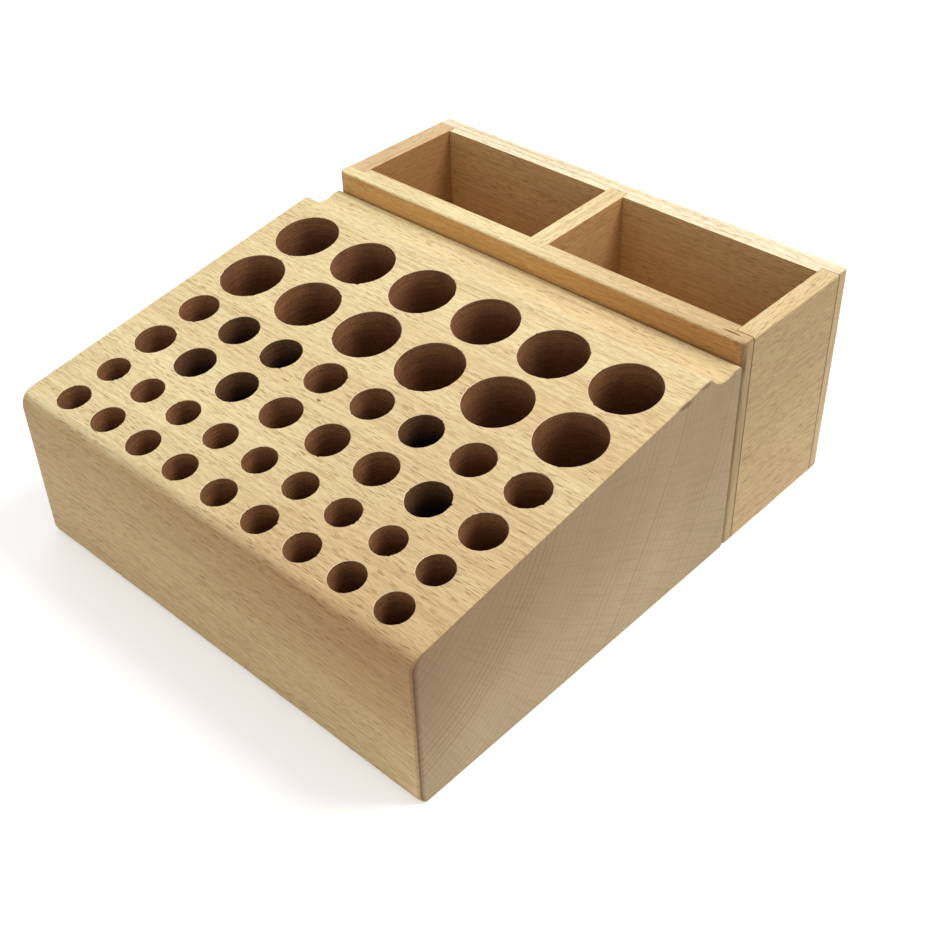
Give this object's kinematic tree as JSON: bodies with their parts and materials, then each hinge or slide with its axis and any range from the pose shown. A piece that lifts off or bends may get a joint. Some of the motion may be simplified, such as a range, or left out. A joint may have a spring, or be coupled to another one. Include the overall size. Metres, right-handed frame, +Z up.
{
  "type": "wooden tool holder",
  "caption": "Desk holder of pale wood for hand tools: a sloping drilled block with an open two-compartment box behind it.",
  "frame": {"origin": "on the table under the middle of the holder", "axes": "+X across the holder to its right, +Y from the front to the box at the back, +Z up"},
  "size_m": [0.128, 0.146, 0.058],
  "materials": {
    "beech_block": "sanded, unvarnished",
    "beech_board": "sanded, unvarnished",
    "floor_board": "sanded, unvarnished"
  },
  "bodies": {
    "root": {"tool_block": "beech_block", "box_front_wall": "beech_board", "box_back_wall": "beech_board", "box_left_end": "beech_board", "box_right_end": "beech_board", "box_divider": "beech_board", "box_floor_panel": "floor_board"}
  },
  "joints": []
}
